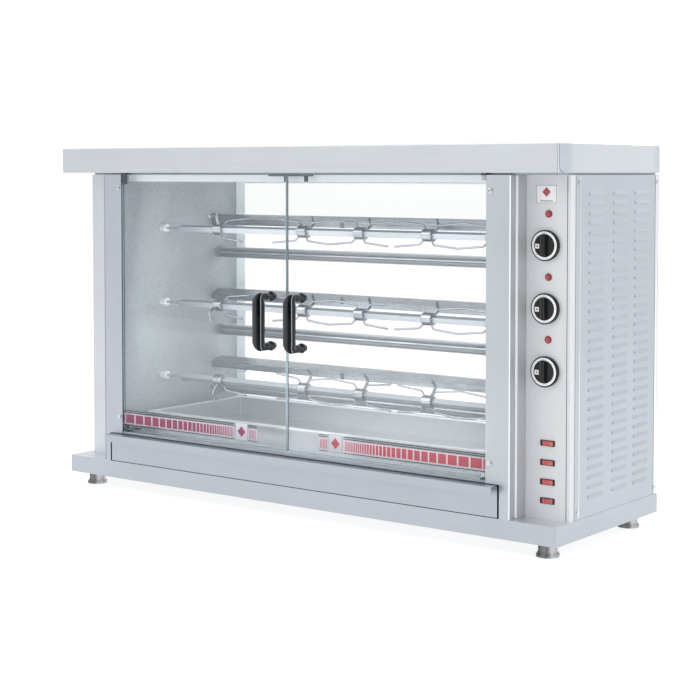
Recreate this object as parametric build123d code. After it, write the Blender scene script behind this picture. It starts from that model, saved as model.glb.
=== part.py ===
"""Counter-top electric rotisserie broiler: three horizontal spits stacked one above another.

Millimetres, +Z up, +X to the operator's right, front face towards -Y.
The origin is the middle of the whole footprint, on the counter.
"""
from build123d import *
import os

# ---------------------------------------------------------------- driving dimensions
WIDTH = 1284.0            # canopy, the widest piece
DEPTH = 400.0             # canopy and plinth, front to back, without the handles
FOOT_H = 28.0
PLINTH_H = 37.0
BODY_H = 639.0            # plinth top to canopy underside
CANOPY_H = 54.0
HANDLE_REACH = 50.0       # door handle in front of the front face
SHEET = 1.5               # stainless sheet
GAP = 0.3                 # between pieces that move past one another
FIT = 0.05                # radial clearance of a shaft in its bush

# heights
Z_PLINTH = FOOT_H
Z_BODY = Z_PLINTH + PLINTH_H
Z_CANOPY = Z_BODY + BODY_H
Z_TOP = Z_CANOPY + CANOPY_H
CEILING_T = 4.0
Z_CEILING = Z_CANOPY - CEILING_T
CEILING_LIP_H = 20.0              # lip folded down behind the doors
CEILING_LIP_D = 25.0

# depths: Y_FRONT is the face of the canopy, the plinth and the door posts
Y_FRONT = HANDLE_REACH - (DEPTH + HANDLE_REACH) / 2
Y_BACK = Y_FRONT + DEPTH
Y_PANEL = Y_FRONT + 50.0          # control panel and left cover are set back
Y_REAR_SKIN = Y_FRONT + 383.0
Y_BODY_BACK = Y_FRONT + 397.0
Y_SERVICE = Y_FRONT + 372.0       # recessed plate that carries the cable gland

# widths
X_RIGHT = WIDTH / 2
X_LEFT = -WIDTH / 2
X_PLINTH_LEFT = X_LEFT + 21.0
X_BODY_LEFT = X_LEFT + 43.5
LOUVRE_RISE = 1.5
X_SIDE = X_RIGHT - LOUVRE_RISE    # face of the louvred side panel
X_OPEN_L = -456.5                 # cooking chamber, inner faces
X_OPEN_R = 490.0
POST_W = 52.5                     # door post, front layer
POST_LAYERS = (16.0, 21.0, 51.0)  # front layer, dark groove, rear layer
REAR_LAYER_WIDER = 3.5
GROOVE_IN = 5.0
X_PANEL_L = X_OPEN_R + POST_W + REAR_LAYER_WIDER + 0.2

# doors
X_MEET = 10.5
PANE_T = 5.0
PANE_SET = 3.0                    # pane behind the front face
PANE_Z0 = Z_BODY + 74.0
PANE_Z1 = Z_CEILING - 1.0
PIVOT_IN = 7.0                    # pivot axis, inside the edge of the opening
PIVOT_R = 2.0
SHOE_W = 10.0                     # pivot shoes, let into the corners of each pane
SHOE_TOP_H = {-1: 20.0, 1: 9.0}
SHOE_FOOT_H = 8.5
BUTTON_IN = 8.5                   # button bolts on the posts, from the opening
BUTTON_Z = (Z_CANOPY - 538.0, Z_CANOPY - 33.0)
HANDLE_IN = 40.3                  # handle centre from the meeting edge
HANDLE_Z = (Z_CANOPY - 353.3, Z_CANOPY - 251.7)
GRIP_R = 13.0
ARM_R = 8.5

# drawer
DRAWER_X0 = -489.5
DRAWER_X1 = 516.0
DRAWER_Z0 = Z_BODY + 6.0          # tray bottom
FACE_Z0 = Z_BODY + 1.5            # foot of the drawer face
DRAWER_Z1 = Z_BODY + 62.0
LIP_REACH = 22.0
SILL_D = 2.5                      # sill of the chamber floor, above the drawer
LIP_DROP = 16.0
NOTCH_GAP = 4.0                   # beside the drawer
DRAWER_GAP = 1.5                  # above it
TRAY_DEPTH = 330.0

# spits
SPIT_Y = Y_FRONT + 130.0
SPIT_Z = (Z_CANOPY - 124.0, Z_CANOPY - 291.0, Z_CANOPY - 457.0)
SPIT_TURN = (20.0, 20.0, 45.0)    # how far each spit has turned at rest, degrees
END_SCREW_TURN = (-90.0, 0.0, 0.0)  # screw of the left fork, about the bar
BAR = 12.0
TIP_R = 3.0
TIP_LEN = 46.0
BOSS_R = 9.5
BOSS_LEN = 15.0
# each fork's place along the spit, and the ways its tines point
FORKS = ((-284.0, (1,)), (-46.0, (-1, 1)), (104.0, (-1, 1)), (273.0, (-1, 1)), (424.0, (-1,)))
HUB_R = 13.0
HUB_LEN = 24.0
TINE_R = 2.0
TINE_ROOT = (17.0, 21.0)          # bend of a tine: along the spit, and out from its axis
TINE_TIP = (76.0, 27.0)
SCREW_R = 3.0
CRANK = (38.0, 20.0)              # thumbscrew: out from the axis, then across
SOCKET_R = 13.0
SHAFT_R = 7.0

# heating
HEAT_D = 322.0                    # element axis behind the front face
HEAT_Z = tuple(Z_CANOPY - h for h in (109.0, 186.0, 283.0, 368.0, 443.0, 503.0))
ROD_R = 3.5
COVER_H = 24.0

# control panel
DIAL_X = X_RIGHT - 48.0           # lamps and rockers
KNOB_X = DIAL_X - 5.0
KNOB_Z = tuple(Z_CANOPY - h for h in (133.0, 249.0, 365.0))
LAMP_Z = tuple(Z_CANOPY - h for h in (75.0, 191.0, 306.0))
ROCKER_Z = tuple(Z_CANOPY - h for h in (497.0, 533.0, 569.0, 604.0))
BEZEL_R = 28.5
COLLAR_T = 8.0
KNOB_R = 20.8
GRIP_W = 7.0                      # knob grip, at its crest
GRIP_L = 39.0
KNOB_SHAFT_R = 3.0
ROCKER_W = 30.0                   # standard switch frame
ROCKER_H = 11.0
ROCKER_R = 12.2
ROCKER_TILT = 8.0

# side louvres
LOUVRE_D = ((117.0, 174.0), (211.0, 268.0), (298.0, 355.0))
LOUVRE_ROWS = 32
LOUVRE_PITCH = 18.2
LOUVRE_TOP = Z_CANOPY - 34.0
LOUVRE_H = 7.0

LAMP_TUBE_Z = (Z_BODY + 215.0, Z_BODY + 555.0)

FOOT_INSET = 42.0
STUD_R = 5.0

# supply cord entry, at the back
GLAND_X = X_RIGHT - 60.0
GLAND_Z = Z_BODY + 45.0
GLAND_THREAD_R = 10.0


# ---------------------------------------------------------------- helpers
def block(x0, x1, y0, y1, z0, z1):
    """A box given by its corners."""
    return Pos((x0 + x1) / 2, (y0 + y1) / 2, (z0 + z1) / 2) * Box(x1 - x0, y1 - y0, z1 - z0)


def rod_x(x0, x1, y, z, r):
    return Pos((x0 + x1) / 2, y, z) * Rot(0, 90, 0) * Cylinder(r, x1 - x0)


def rod_y(x, y0, y1, z, r):
    return Pos(x, (y0 + y1) / 2, z) * Rot(90, 0, 0) * Cylinder(r, y1 - y0)


def rod_z(x, y, z0, z1, r):
    return Pos(x, y, (z0 + z1) / 2) * Cylinder(r, z1 - z0)


def prism(corners, direction, length):
    """A flat polygon, given by its corners in space, pulled along a direction."""
    return extrude(make_face(Polyline(*corners, close=True)), amount=length, dir=direction)


def wire(corners, bend, r):
    """A round bar bent through the corners."""
    path = FilletPolyline(*corners, radius=bend)
    start = Plane(origin=path @ 0, z_dir=path % 0)
    return sweep(start * Circle(r), path=path)


def d(depth):
    """A place given as depth behind the front face."""
    return Y_FRONT + depth


def save(name, *pieces):
    """One node: a single solid, or a group of separate solids."""
    solids = [solid for piece in pieces for solid in piece.solids()]
    shape = solids[0] if len(solids) == 1 else Compound(children=solids)
    export_step(shape, f"parts/{name}.step")


# ---------------------------------------------------------------- base
def foot_places():
    x_left, x_right = X_PLINTH_LEFT + FOOT_INSET, X_RIGHT - FOOT_INSET
    y_front, y_back = Y_FRONT + FOOT_INSET, Y_BACK - FOOT_INSET
    return [(x_left, y_front), (x_right, y_front), (x_left, y_back), (x_right, y_back)]


def foot(x, y):
    """A levelling foot: flange, tube and the stud that screws into the plinth."""
    flange = rod_z(x, y, 0, 5, 22)
    step = rod_z(x, y, 5, 8, 20)
    tube = rod_z(x, y, 8, FOOT_H - GAP, 18.5)
    stud = rod_z(x, y, FOOT_H - GAP, FOOT_H + 16, STUD_R)
    return flange + step + tube + stud


def base_plinth():
    """Folded tray, open side down, that everything stands on."""
    outer = block(X_PLINTH_LEFT, X_RIGHT, Y_FRONT, Y_BACK, Z_PLINTH, Z_BODY)
    outer = fillet(outer.edges().filter_by(Axis.Z), 2.5)
    hollow = block(X_PLINTH_LEFT + SHEET, X_RIGHT - SHEET, Y_FRONT + SHEET, Y_BACK - SHEET,
                   Z_PLINTH - 1, Z_BODY - SHEET)
    return outer - hollow


def base_cover():
    """Bottom plate inside the plinth, with a hole for each foot stud."""
    plate = block(X_PLINTH_LEFT + SHEET, X_RIGHT - SHEET, Y_FRONT + SHEET, Y_BACK - SHEET,
                  Z_PLINTH, Z_PLINTH + 3)
    for x, y in foot_places():
        plate -= rod_z(x, y, Z_PLINTH - 1, Z_PLINTH + 4, STUD_R + FIT)
    return plate


# ---------------------------------------------------------------- canopy
def canopy_shell():
    """Folded cap over the whole machine, closed below except over the chamber ceiling."""
    outer = block(X_LEFT, X_RIGHT, Y_FRONT, Y_BACK, Z_CANOPY, Z_TOP)
    outer = fillet(outer.edges().filter_by(Axis.Z), 3.0)
    outer = fillet(outer.faces().sort_by(Axis.Z)[-1].edges(), 1.5)
    hollow = block(X_LEFT + SHEET, X_RIGHT - SHEET, Y_FRONT + SHEET, Y_BACK - SHEET,
                   Z_CANOPY + SHEET, Z_TOP - SHEET)
    mouth = block(X_BODY_LEFT + 28, X_RIGHT - 24, Y_FRONT + 30, Y_BACK - 30,
                  Z_CANOPY - 1, Z_CANOPY + 2 * SHEET)
    return outer - hollow - mouth


def chamber_ceiling():
    """Heat shield under the canopy, set in all round, with a lip folded down behind the doors."""
    shield = block(X_BODY_LEFT + 5, X_SIDE - 5, d(10), Y_BODY_BACK - 5, Z_CEILING, Z_CANOPY)
    shield -= block(X_BODY_LEFT + 4, X_OPEN_L - POST_W + 4, d(9), Y_PANEL + 4, Z_CEILING - 1, Z_CANOPY + 1)
    return shield + block(X_OPEN_L + 0.2, X_OPEN_R - 0.2, d(CEILING_LIP_D), d(CEILING_LIP_D) + SHEET,
                          Z_CANOPY - CEILING_LIP_H, Z_CEILING)


def chamber_lamp():
    """Upright tubular lamp on the right wall, in the shelter of the door post."""
    low, high = LAMP_TUBE_Z
    back = block(X_OPEN_R - 4, X_OPEN_R, d(56), d(82), low, high)
    ends = [block(X_OPEN_R - 22, X_OPEN_R - 4, d(58), d(80), z, z + 14) for z in (low, high - 14)]
    tube = rod_z(X_OPEN_R - 13, d(69), low + 14, high - 14, 7)
    return back + ends + tube


# ---------------------------------------------------------------- body sheets
def left_cover():
    """Outer cover of the left column, folded round its front, side and back."""
    front = block(X_BODY_LEFT, X_OPEN_L - POST_W - REAR_LAYER_WIDER - 0.2, Y_PANEL,
                  Y_PANEL + SHEET, Z_BODY, Z_CEILING)
    side = block(X_BODY_LEFT, X_BODY_LEFT + SHEET, Y_PANEL, Y_BODY_BACK, Z_BODY, Z_CEILING)
    back = block(X_BODY_LEFT, X_OPEN_L - 0.2, Y_BODY_BACK - SHEET, Y_BODY_BACK, Z_BODY, Z_CEILING)
    cover = front + side + back
    return fillet([edge for edge in cover.edges().filter_by(Axis.Z)
                   if abs(edge.center().X - X_BODY_LEFT) < 0.01], 1.2)


def chamber_left_wall():
    wall = block(X_OPEN_L - SHEET, X_OPEN_L, d(POST_LAYERS[2]) + 0.2, Y_REAR_SKIN - 0.2,
                 Z_BODY, Z_CEILING)
    wall -= drawer_passage()
    for z in SPIT_Z:
        wall -= rod_x(X_OPEN_L - 3, X_OPEN_L + 1, SPIT_Y, z, BOSS_R - 3)
    return wall


def chamber_right_wall():
    """Bulkhead between the chamber and the drive column."""
    wall = block(X_OPEN_R, X_OPEN_R + SHEET, d(POST_LAYERS[2]) + 0.2, Y_REAR_SKIN - 0.2,
                 Z_BODY, Z_CEILING)
    wall -= drawer_passage()
    for z in SPIT_Z:
        wall -= rod_x(X_OPEN_R - 1, X_OPEN_R + 3, SPIT_Y, z, SHAFT_R + 5)
    for z in HEAT_Z:
        wall -= rod_x(X_OPEN_R - 1, X_OPEN_R + 3, d(HEAT_D), z, ROD_R + FIT)
    return wall


def service_plate():
    """Plate that closes the back of the drive column and carries the cable gland."""
    plate = block(X_OPEN_R + SHEET, X_SIDE - SHEET - 0.2, Y_SERVICE - SHEET, Y_SERVICE,
                  Z_BODY, Z_CEILING)
    return plate - rod_y(GLAND_X, Y_SERVICE - 3, Y_SERVICE + 1, GLAND_Z, GLAND_THREAD_R + FIT)


def drawer_passage():
    """Room for the drawer at the foot of the walls and posts."""
    return block(DRAWER_X0 - NOTCH_GAP, DRAWER_X1 + NOTCH_GAP, d(-1), d(TRAY_DEPTH + 20),
                 Z_BODY - 1, DRAWER_Z1 + DRAWER_GAP)


def post_outline(side):
    """Plan outline of a door post: thin front layer, groove, wider rear layer."""
    inner = X_OPEN_R if side > 0 else X_OPEN_L
    outer = inner + side * POST_W
    wide = outer + side * REAR_LAYER_WIDER
    front, groove, rear = (d(depth) for depth in POST_LAYERS)
    return [(inner, Y_FRONT), (outer, Y_FRONT), (outer, front), (outer - side * GROOVE_IN, front),
            (outer - side * GROOVE_IN, groove), (wide, groove), (wide, rear), (inner, rear)]


def door_post(side):
    """Hollow folded post beside the doors, notched at its foot for the drawer."""
    outline = Polyline(*[(x, y, Z_BODY) for x, y in post_outline(side)], close=True)
    face = make_face(outline)
    core = offset(face, amount=-SHEET, kind=Kind.INTERSECTION)
    post = extrude(face, amount=Z_CEILING - Z_BODY, dir=(0, 0, 1))
    hollow = extrude(core, amount=Z_CEILING - Z_BODY, dir=(0, 0, 1))
    return post - hollow - drawer_passage()


def rear_frame():
    """Folded frame round the rear window."""
    outer = block(X_OPEN_L, X_OPEN_R, Y_REAR_SKIN, Y_BODY_BACK, Z_BODY, Z_CEILING)
    hollow = block(X_OPEN_L + SHEET, X_OPEN_R - SHEET, Y_REAR_SKIN + SHEET, Y_BODY_BACK + 1,
                   Z_BODY + SHEET, Z_CEILING - SHEET)
    window = block(X_OPEN_L + 27, X_OPEN_R - 27, Y_REAR_SKIN - 1, Y_BODY_BACK, Z_BODY + 110,
                   Z_CANOPY - 25)
    return outer - hollow - window


def rear_glass():
    y = Y_REAR_SKIN + SHEET
    return block(X_OPEN_L + 12, X_OPEN_R - 12, y, y + 4, Z_BODY + 96, Z_CANOPY - 14)


def chamber_floor():
    """Floor under the drip pan, with a front sill and the drain that leads to the drawer."""
    x0, x1, top = X_OPEN_L + 0.2, X_OPEN_R - 0.2, PANE_Z0 - 7 + SHEET
    floor = block(x0, x1, d(SILL_D), Y_REAR_SKIN - 0.2, top - SHEET, top)
    floor += block(x0, x1, d(SILL_D), d(SILL_D) + SHEET, DRAWER_Z1 + DRAWER_GAP, top)
    return floor - rod_z(X_MEET, d(200), PANE_Z0 - 10, PANE_Z0, 14)


def drip_pan():
    """Lift-out pan with a rolled rim and a drain."""
    x0, x1, y0, y1 = X_OPEN_L + 38, X_OPEN_R - 16, d(60), d(350)
    z0, z1 = PANE_Z0 - 7 + SHEET, Z_CANOPY - 530
    outer = block(x0, x1, y0, y1, z0, z1)
    outer = fillet(outer.edges().filter_by(Axis.Z), 4)
    inner = block(x0 + SHEET, x1 - SHEET, y0 + SHEET, y1 - SHEET, z0 + SHEET, z1 + 1)
    inner = fillet(inner.edges().filter_by(Axis.Z), 2.5)
    rim = block(x0 - 10, x1 + 10, y0 - 10, y1 + 10, z1 - 4, z1)
    rim = fillet(rim.edges().filter_by(Axis.Z), 6)
    return outer + rim - inner - rod_z(X_MEET, d(200), z0 - 1, z0 + 3, 10)


def side_panel():
    """Right side panel with three columns of pressed louvres."""
    panel = block(X_SIDE - SHEET, X_SIDE, Y_PANEL + 18.2, Y_BODY_BACK, Z_BODY, Z_CEILING)
    hoods, slots = [], []
    for row in range(LOUVRE_ROWS):
        top = LOUVRE_TOP - row * LOUVRE_PITCH
        foot_z = top - LOUVRE_H
        for near, far in LOUVRE_D:
            hoods.append(prism([(X_SIDE - 0.5, d(near), top), (X_SIDE, d(near), top),
                                (X_RIGHT, d(near), foot_z), (X_SIDE - 0.5, d(near), foot_z)],
                               (0, 1, 0), far - near))
            slots.append(prism([(X_SIDE - SHEET - 1, d(near + 1), top - 3),
                                (X_SIDE, d(near + 1), top - 3),
                                (X_RIGHT - 0.9, d(near + 1), foot_z - 0.1),
                                (X_SIDE - SHEET - 1, d(near + 1), foot_z - 0.1)],
                               (0, 1, 0), far - near - 2))
    return panel + hoods - slots


def control_panel():
    """Front panel of the drive column, folded back along its outer edge."""
    edge_x = X_SIDE - 1.2
    face = block(X_PANEL_L, edge_x, Y_PANEL, Y_PANEL + SHEET, Z_BODY, Z_CEILING)
    fold = block(edge_x - SHEET, edge_x, Y_PANEL, Y_PANEL + 18, Z_BODY, Z_CEILING)
    panel = face + fold
    panel = fillet([edge for edge in panel.edges().filter_by(Axis.Z)
                    if abs(edge.center().X - edge_x) < 0.01
                    and abs(edge.center().Y - Y_PANEL) < 0.01], 0.8)
    for z in KNOB_Z:
        panel -= rod_y(KNOB_X, Y_PANEL - 1, Y_PANEL + 3, z, KNOB_SHAFT_R + 1)
    for z in LAMP_Z:
        panel -= rod_y(DIAL_X, Y_PANEL - 1, Y_PANEL + 3, z, 5 + FIT)
    for z in ROCKER_Z:
        panel -= block(DIAL_X - 13, DIAL_X + 13, Y_PANEL - 1, Y_PANEL + 3, z - 4.7, z + 4.7)
    return panel


def badge_plate():
    plate = block(KNOB_X - 22, KNOB_X + 22, Y_PANEL - 0.8, Y_PANEL, Z_CANOPY - 56, Z_CANOPY - 22)
    return fillet(plate.edges().filter_by(Axis.Y), 2)


# ---------------------------------------------------------------- doors
def pivot_x(side):
    """Upright axis that a door turns about."""
    return (X_OPEN_R if side > 0 else X_OPEN_L) - side * PIVOT_IN


def door_pane(side):
    """Frameless glass leaf, drilled for its handle and notched for its pivot shoes."""
    x_hinge = X_OPEN_R if side > 0 else X_OPEN_L
    outer, inner = x_hinge - side * 2, X_MEET + side * 1.5
    pane = block(min(outer, inner), max(outer, inner), d(PANE_SET), d(PANE_SET + PANE_T),
                 PANE_Z0, PANE_Z1)
    pane = fillet(pane.edges().filter_by(Axis.Y), 3)
    for z in HANDLE_Z:
        pane -= rod_y(X_MEET + side * HANDLE_IN, d(0), d(12), z, 4 + FIT)
    notch_a, notch_b = sorted((outer + side, outer - side * SHOE_W))
    pane -= block(notch_a, notch_b, d(0), d(12), PANE_Z1 - SHOE_TOP_H[side], PANE_Z1 + 1)
    return pane - block(notch_a, notch_b, d(0), d(12), PANE_Z0 - 1, PANE_Z0 + SHOE_FOOT_H)


def door_handle(side):
    """Bridge handle: a thick grip with round ends, two arms, and a bolt through the glass."""
    x = X_MEET + side * HANDLE_IN
    y_grip = d(-HANDLE_REACH + GRIP_R)
    low, high = HANDLE_Z
    grip = fillet(rod_z(x, y_grip, low - ARM_R, high + ARM_R, GRIP_R).edges(), 9)
    handle = grip
    for z in HANDLE_Z:
        handle += Pos(x, y_grip, z) * Sphere(ARM_R)
        handle += rod_y(x, y_grip, d(PANE_SET), z, ARM_R)
        handle += rod_y(x, d(PANE_SET) - 3, d(PANE_SET), z, ARM_R + 1.5)
        handle += rod_y(x, d(PANE_SET) - 1, d(PANE_SET + PANE_T), z, 4)
        handle += rod_y(x, d(PANE_SET + PANE_T), d(PANE_SET + PANE_T) + 4, z, 7)
    return handle


def pivot_bracket(side, top):
    """Fixed half of a door pivot: a small block or tab, and the pin that enters the shoe."""
    x, y = pivot_x(side), d(PANE_SET + PANE_T / 2)
    if top:
        body = block(x - 6, x + 6, d(1), d(20), PANE_Z1 + 0.6, Z_CANOPY)
        body -= block(x - 7, x + 7, d(9.8), d(21), Z_CEILING - 0.1, Z_CANOPY + 1)
        return body + rod_z(x, y, PANE_Z1 - 7, PANE_Z1 + 1, PIVOT_R)
    floor_top = PANE_Z0 - 7 + SHEET
    tab = block(x - 6, x + 6, d(1.5), d(45), floor_top, floor_top + 3)
    return tab + rod_z(x, y, floor_top + 1, PANE_Z0 + 6, PIVOT_R)


def pivot_shoe(side, top):
    """Moving half of a door pivot: a block that fills the notch in the pane."""
    x_hinge = X_OPEN_R if side > 0 else X_OPEN_L
    outer = x_hinge - side * 2
    shoe_a, shoe_b = sorted((outer, outer - side * SHOE_W))
    if top:
        z0, z1 = PANE_Z1 - SHOE_TOP_H[side], PANE_Z1
    else:
        z0, z1 = PANE_Z0, PANE_Z0 + SHOE_FOOT_H
    shoe = block(shoe_a, shoe_b, d(PANE_SET - 1), d(PANE_SET + PANE_T + 1), z0, z1)
    shoe = fillet(shoe.edges().filter_by(Axis.Z), 1.5)
    bore_z0, bore_z1 = (z1 - 8, z1 + 1) if top else (z0 - 1, z0 + 7)
    return shoe - rod_z(pivot_x(side), d(PANE_SET + PANE_T / 2), bore_z0, bore_z1, PIVOT_R + FIT)


def door_catch():
    """Magnetic catch: a strip under the ceiling with a magnet behind each door."""
    strip = block(X_MEET - 52, X_MEET + 53, d(9), d(24), Z_CEILING - 3, Z_CEILING)
    magnets = [block(x - 4, x + 4, d(8.3), d(12), Z_CEILING - 14, Z_CEILING - 2)
               for x in (X_MEET - 6, X_MEET + 46)]
    return strip + magnets


# ---------------------------------------------------------------- drawer
def drawer_front():
    """Drawer face with a lip folded forward and down along its top as a handle."""
    y0 = d(0)
    outline = [(y0, FACE_Z0), (y0, DRAWER_Z1 - SHEET), (y0 - LIP_REACH + SHEET, DRAWER_Z1 - SHEET),
               (y0 - LIP_REACH + SHEET, DRAWER_Z1 - LIP_DROP), (y0 - LIP_REACH, DRAWER_Z1 - LIP_DROP),
               (y0 - LIP_REACH, DRAWER_Z1), (y0 + SHEET, DRAWER_Z1), (y0 + SHEET, FACE_Z0)]
    return prism([(DRAWER_X0, y, z) for y, z in outline], (1, 0, 0), DRAWER_X1 - DRAWER_X0)


def drawer_tray():
    """Fat tray behind the drawer face."""
    y0 = d(SHEET)
    outer = block(DRAWER_X0 + 8, DRAWER_X1 - 8, y0, y0 + TRAY_DEPTH, DRAWER_Z0, DRAWER_Z1 - 6)
    inner = block(DRAWER_X0 + 8 + SHEET, DRAWER_X1 - 8 - SHEET, y0 + SHEET, y0 + TRAY_DEPTH - SHEET,
                  DRAWER_Z0 + SHEET, DRAWER_Z1)
    return outer - inner


def drawer_runner(x):
    """Angle rail on the plinth that carries and guides one side of the drawer."""
    return block(x - 9, x + 9, d(60), d(TRAY_DEPTH + 10), Z_BODY, DRAWER_Z0 - GAP)


# ---------------------------------------------------------------- spits
def fork(ways, screw_turn):
    """Fork at the origin, along X: square-bored hub and two opposite wire tines each way."""
    hub = Rot(0, 90, 0) * Cylinder(HUB_R, HUB_LEN)
    hub = fillet(hub.edges(), 2)
    for way in ways:
        tine = wire([(way * 8, 0, HUB_R - 4), (way * TINE_ROOT[0], 0, TINE_ROOT[1]),
                     (way * TINE_TIP[0], 0, TINE_TIP[1])], 6, TINE_R)
        hub = hub + Rot(-45, 0, 0) * tine + Rot(135, 0, 0) * tine
    hub -= Box(HUB_LEN + 2, BAR, BAR)
    hole = rod_y(0, -HUB_R - 1, -BAR / 2, 0, SCREW_R + FIT)
    return hub - Rot(screw_turn, 0, 0) * hole


def thumbscrew():
    """Cranked screw that clamps a fork hub on the bar."""
    out, across = CRANK
    return wire([(0, -BAR / 2, 0), (0, -out, 0), (0, -out, -across)], 7, SCREW_R)


def spit_bar(z):
    """Square bar with a turned point at its left end."""
    x0 = X_OPEN_L + TIP_LEN
    tip = rod_x(X_OPEN_L + 1, x0, SPIT_Y, z, TIP_R)
    shoulder = Pos(x0 + 5, SPIT_Y, z) * Rot(0, 90, 0) * Cone(TIP_R, BAR / 2, 10)
    bar = block(x0 + 10, X_OPEN_R - 20, SPIT_Y - BAR / 2, SPIT_Y + BAR / 2,
                z - BAR / 2, z + BAR / 2)
    return tip + shoulder + bar


def spit_forks(z, turn, end_screw_turn):
    """Forks and their screws; all but the left end's have the screw at the back."""
    pieces = []
    for x, ways in FORKS:
        screw_turn = end_screw_turn if x == FORKS[0][0] else 180.0
        place = Pos(x, SPIT_Y, z) * Rot(turn, 0, 0)
        pieces += [place * fork(ways, screw_turn), place * Rot(screw_turn, 0, 0) * thumbscrew()]
    return pieces


def drive_socket(z):
    """Square socket that turns a spit, with its shaft through the bulkhead."""
    socket = fillet(rod_x(X_OPEN_R - 46, X_OPEN_R - 8, SPIT_Y, z, SOCKET_R).edges(), 2)
    shaft = rod_x(X_OPEN_R - 8, X_OPEN_R + 40, SPIT_Y, z, SHAFT_R)
    bore = block(X_OPEN_R - 47, X_OPEN_R - 20, SPIT_Y - BAR / 2, SPIT_Y + BAR / 2,
                 z - BAR / 2, z + BAR / 2)
    return socket + shaft - bore


def left_boss(z):
    """Cup on the left wall that the point of a spit turns in."""
    cup = rod_x(X_OPEN_L, X_OPEN_L + BOSS_LEN, SPIT_Y, z, BOSS_R)
    cup = fillet(cup.faces().sort_by(Axis.X)[-1].edges(), 1.5)
    cup += rod_x(X_OPEN_L - 6, X_OPEN_L, SPIT_Y, z, BOSS_R - 3)
    cup += rod_x(X_OPEN_L - 9, X_OPEN_L - SHEET, SPIT_Y, z, BOSS_R)
    return cup - rod_x(X_OPEN_L + GAP, X_OPEN_L + BOSS_LEN + 1, SPIT_Y, z, TIP_R + FIT)


def drive_bush(z):
    """Flanged bearing bush in the bulkhead."""
    flange = rod_x(X_OPEN_R - 4, X_OPEN_R, SPIT_Y, z, 17)
    sleeve = rod_x(X_OPEN_R, X_OPEN_R + 9, SPIT_Y, z, SHAFT_R + 5)
    return flange + sleeve - rod_x(X_OPEN_R - 5, X_OPEN_R + 10, SPIT_Y, z, SHAFT_R + FIT)


def gearmotor(z):
    """Gearbox with a hollow output bore, and its motor."""
    x0 = X_OPEN_R + 9
    box = fillet(block(x0, x0 + 46, SPIT_Y - 32, SPIT_Y + 32, z - 32, z + 32).edges(), 3)
    motor = fillet(rod_x(x0 + 46, x0 + 120, SPIT_Y, z, 26).edges(), 3)
    return box + motor - rod_x(x0 - 1, x0 + 34, SPIT_Y, z, SHAFT_R + FIT)


# ---------------------------------------------------------------- heating
def roof_cover(z):
    """Reflector with a sloping top that sheds fat, over an element."""
    low, high = z - COVER_H / 2, z + COVER_H / 2
    front, crest, back = d(HEAT_D - 28), d(HEAT_D - 2), d(HEAT_D + 12)
    eave = z + 2
    outline = [(front, low), (front, eave), (crest, high), (back, high), (back, low),
               (back - SHEET, low), (back - SHEET, high - SHEET), (crest, high - SHEET),
               (front + SHEET, eave - SHEET), (front + SHEET, low)]
    return prism([(X_OPEN_L + 0.5, a, b) for a, b in outline], (1, 0, 0),
                 X_OPEN_R - X_OPEN_L - 1)


def channel_cover(z):
    """Reflector channel behind an element, open towards the spits."""
    y0, y1 = d(HEAT_D - 6), d(HEAT_D + 12)
    low, high = z - COVER_H / 2, z + COVER_H / 2
    outline = [(y0, low), (y1, low), (y1, high), (y0, high), (y0, high - SHEET),
               (y1 - SHEET, high - SHEET), (y1 - SHEET, low + SHEET), (y0, low + SHEET)]
    return prism([(X_OPEN_L + 0.5, a, b) for a, b in outline], (1, 0, 0),
                 X_OPEN_R - X_OPEN_L - 1)


def element_rod(z):
    """Sheathed heating element, its cold end through the bulkhead."""
    rod = rod_x(X_OPEN_L + 3, X_OPEN_R + 30, d(HEAT_D), z, ROD_R)
    return rod + rod_x(X_OPEN_R + 20, X_OPEN_R + 34, d(HEAT_D), z, 5)


# ---------------------------------------------------------------- controls
def knob_bezel(z):
    """Fixed collar round a knob; its flat face carries the dial ring."""
    collar = rod_y(KNOB_X, Y_PANEL - COLLAR_T, Y_PANEL, z, BEZEL_R)
    collar = chamfer(collar.faces().sort_by(Axis.Y)[0].edges(), 0.6)
    pocket = rod_y(KNOB_X, Y_PANEL - COLLAR_T - 1, Y_PANEL - 2, z, KNOB_R + GAP)
    return collar - pocket - rod_y(KNOB_X, Y_PANEL - 3, Y_PANEL + 1, z, KNOB_SHAFT_R + 1)


def knob(z):
    """Control knob: round body in the collar, an upright tapered grip, and its shaft."""
    face = Y_PANEL - COLLAR_T + 0.5
    body = rod_y(KNOB_X, face, Y_PANEL - 2 - GAP, z, KNOB_R)
    body = fillet(body.faces().sort_by(Axis.Y)[0].edges(), 1)
    half_base, half_crest, crest = GRIP_W / 2 + 2.5, GRIP_W / 2, Y_PANEL - COLLAR_T - 8
    outline = [(KNOB_X - half_base, face + 1), (KNOB_X - half_crest, crest),
               (KNOB_X + half_crest, crest), (KNOB_X + half_base, face + 1)]
    grip = prism([(x, y, z - GRIP_L / 2) for x, y in outline], (0, 0, 1), GRIP_L)
    grip = fillet(grip.edges().filter_by(Axis.Z).sort_by(Axis.Y)[:2], 1.5)
    round_ends = rod_y(KNOB_X, crest - 1, face + 2, z, GRIP_L / 2)
    shaft = rod_y(KNOB_X, face + 1, Y_PANEL + 20, z, KNOB_SHAFT_R)
    return body + (grip & round_ends) + shaft


def regulator(z):
    """Energy regulator behind the panel."""
    box = block(KNOB_X - 20, KNOB_X + 20, Y_PANEL + 6, Y_PANEL + 40, z - 20, z + 20)
    neck = rod_y(KNOB_X, Y_PANEL + SHEET, Y_PANEL + 6, z, 8)
    box = box + neck
    return box - rod_y(KNOB_X, Y_PANEL, Y_PANEL + 21, z, KNOB_SHAFT_R + FIT)


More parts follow.
